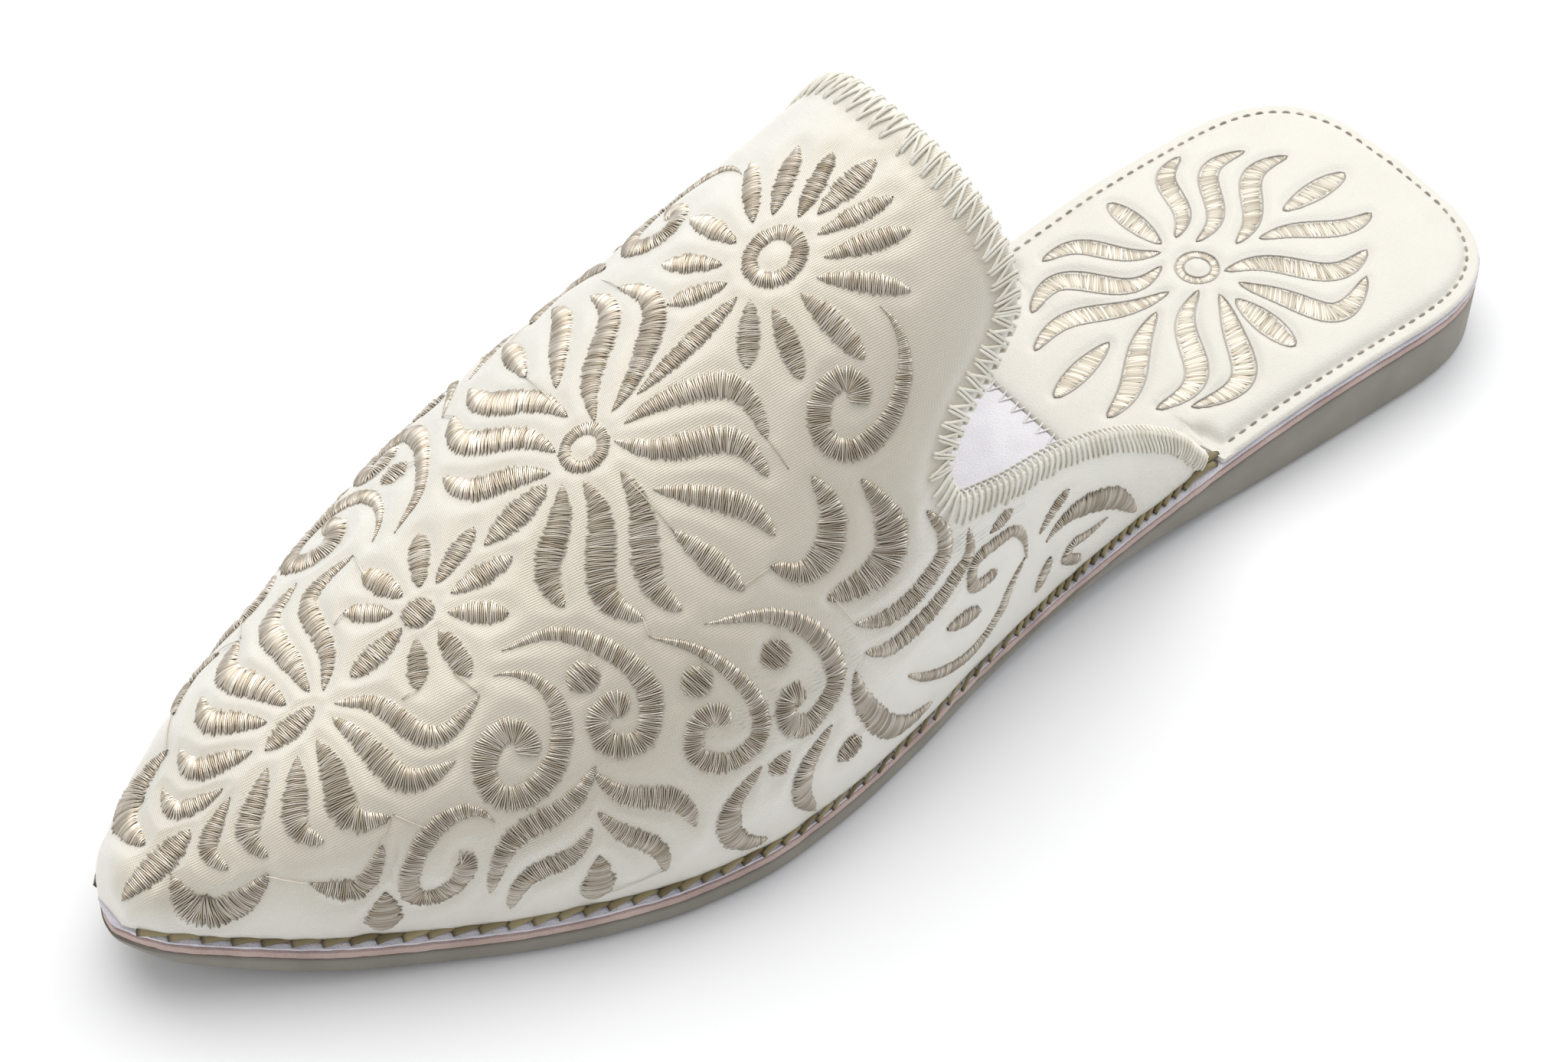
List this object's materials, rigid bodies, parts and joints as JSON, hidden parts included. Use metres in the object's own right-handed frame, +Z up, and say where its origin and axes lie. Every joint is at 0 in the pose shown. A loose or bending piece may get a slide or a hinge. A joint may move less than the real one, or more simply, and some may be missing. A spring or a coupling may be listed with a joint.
{
  "type": "babouche slipper",
  "caption": "Backless pointed slipper for a left foot: hollow satin upper with a high tongue, padded leather insole and a low layered sole with a heel wedge.",
  "frame": {"origin": "centre of the bounding box on the ground plane under the sole", "axes": "+X along the shoe to the toe tip, +Y to the wearer's left (the outer side), +Z up"},
  "size_m": [0.262, 0.0852, 0.0861],
  "materials": {
    "rubber": "matt grey-taupe rubber",
    "leatherboard": "raw cut edge of pink-brown leatherboard",
    "white_board": "white leather and board with a fuzzy cut edge",
    "textile": "pale brushed lining cloth",
    "leather": "soft ivory leather over padding",
    "satin": "ivory satin with a fine twill, embroidered"
  },
  "bodies": {
    "root": {"outsole": "rubber", "midsole": "leatherboard", "welt": "white_board", "insole_forepart": "textile", "insole_heel_pad": "leather", "upper": "satin"}
  },
  "joints": []
}
